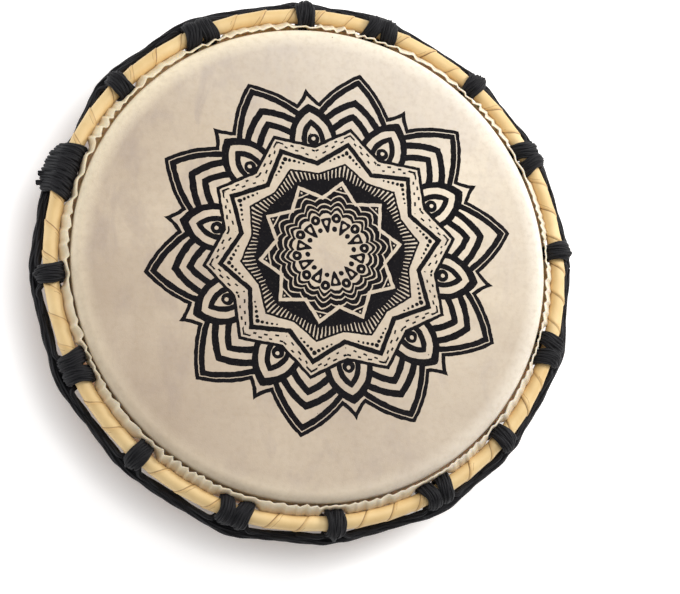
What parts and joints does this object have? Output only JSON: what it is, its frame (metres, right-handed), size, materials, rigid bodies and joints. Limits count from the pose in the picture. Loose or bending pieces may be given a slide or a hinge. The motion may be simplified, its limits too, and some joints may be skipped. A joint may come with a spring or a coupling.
{
  "type": "shaman drum",
  "caption": "Round frame drum with a printed rawhide head, a strip-wound hoop held by dark rope hitches, and an open corded back with a centre ring.",
  "frame": {"origin": "on the drum's axis at the shell's rear edge, which the drum lies on", "axes": "+Z along the drum's axis out of the head, +X and +Y across the head with the ornament upright along +Y as in the picture"},
  "size_m": [0.3236, 0.3227, 0.062],
  "materials": {
    "wood": "oiled, satin",
    "hide": "dry rawhide with a printed black ornament",
    "strip": "dry hide strip, matte",
    "rope": "black braided cord, satin"
  },
  "bodies": {
    "root": {"wooden_shell": "wood", "drumhead": "hide", "wound_hoop": "strip", "belt_rope": "rope", "centre_ring": "rope", "hitch_1": "rope", "tension_cord_1": "rope", "hitch_2": "rope", "tension_cord_2": "rope", "hitch_3": "rope", "tension_cord_3": "rope", "hitch_4": "rope", "tension_cord_4": "rope", "hitch_5": "rope", "tension_cord_5": "rope", "hitch_6": "rope", "tension_cord_6": "rope", "hitch_7": "rope", "tension_cord_7": "rope", "hitch_8": "rope", "tension_cord_8": "rope", "hitch_9": "rope", "tension_cord_9": "rope", "hitch_10": "rope", "tension_cord_10": "rope", "hitch_11": "rope", "tension_cord_11": "rope", "hitch_12": "rope", "tension_cord_12": "rope", "hitch_13": "rope", "tension_cord_13": "rope", "hitch_14": "rope", "tension_cord_14": "rope", "hitch_15": "rope", "tension_cord_15": "rope", "hitch_16": "rope", "tension_cord_16": "rope"}
  },
  "joints": []
}
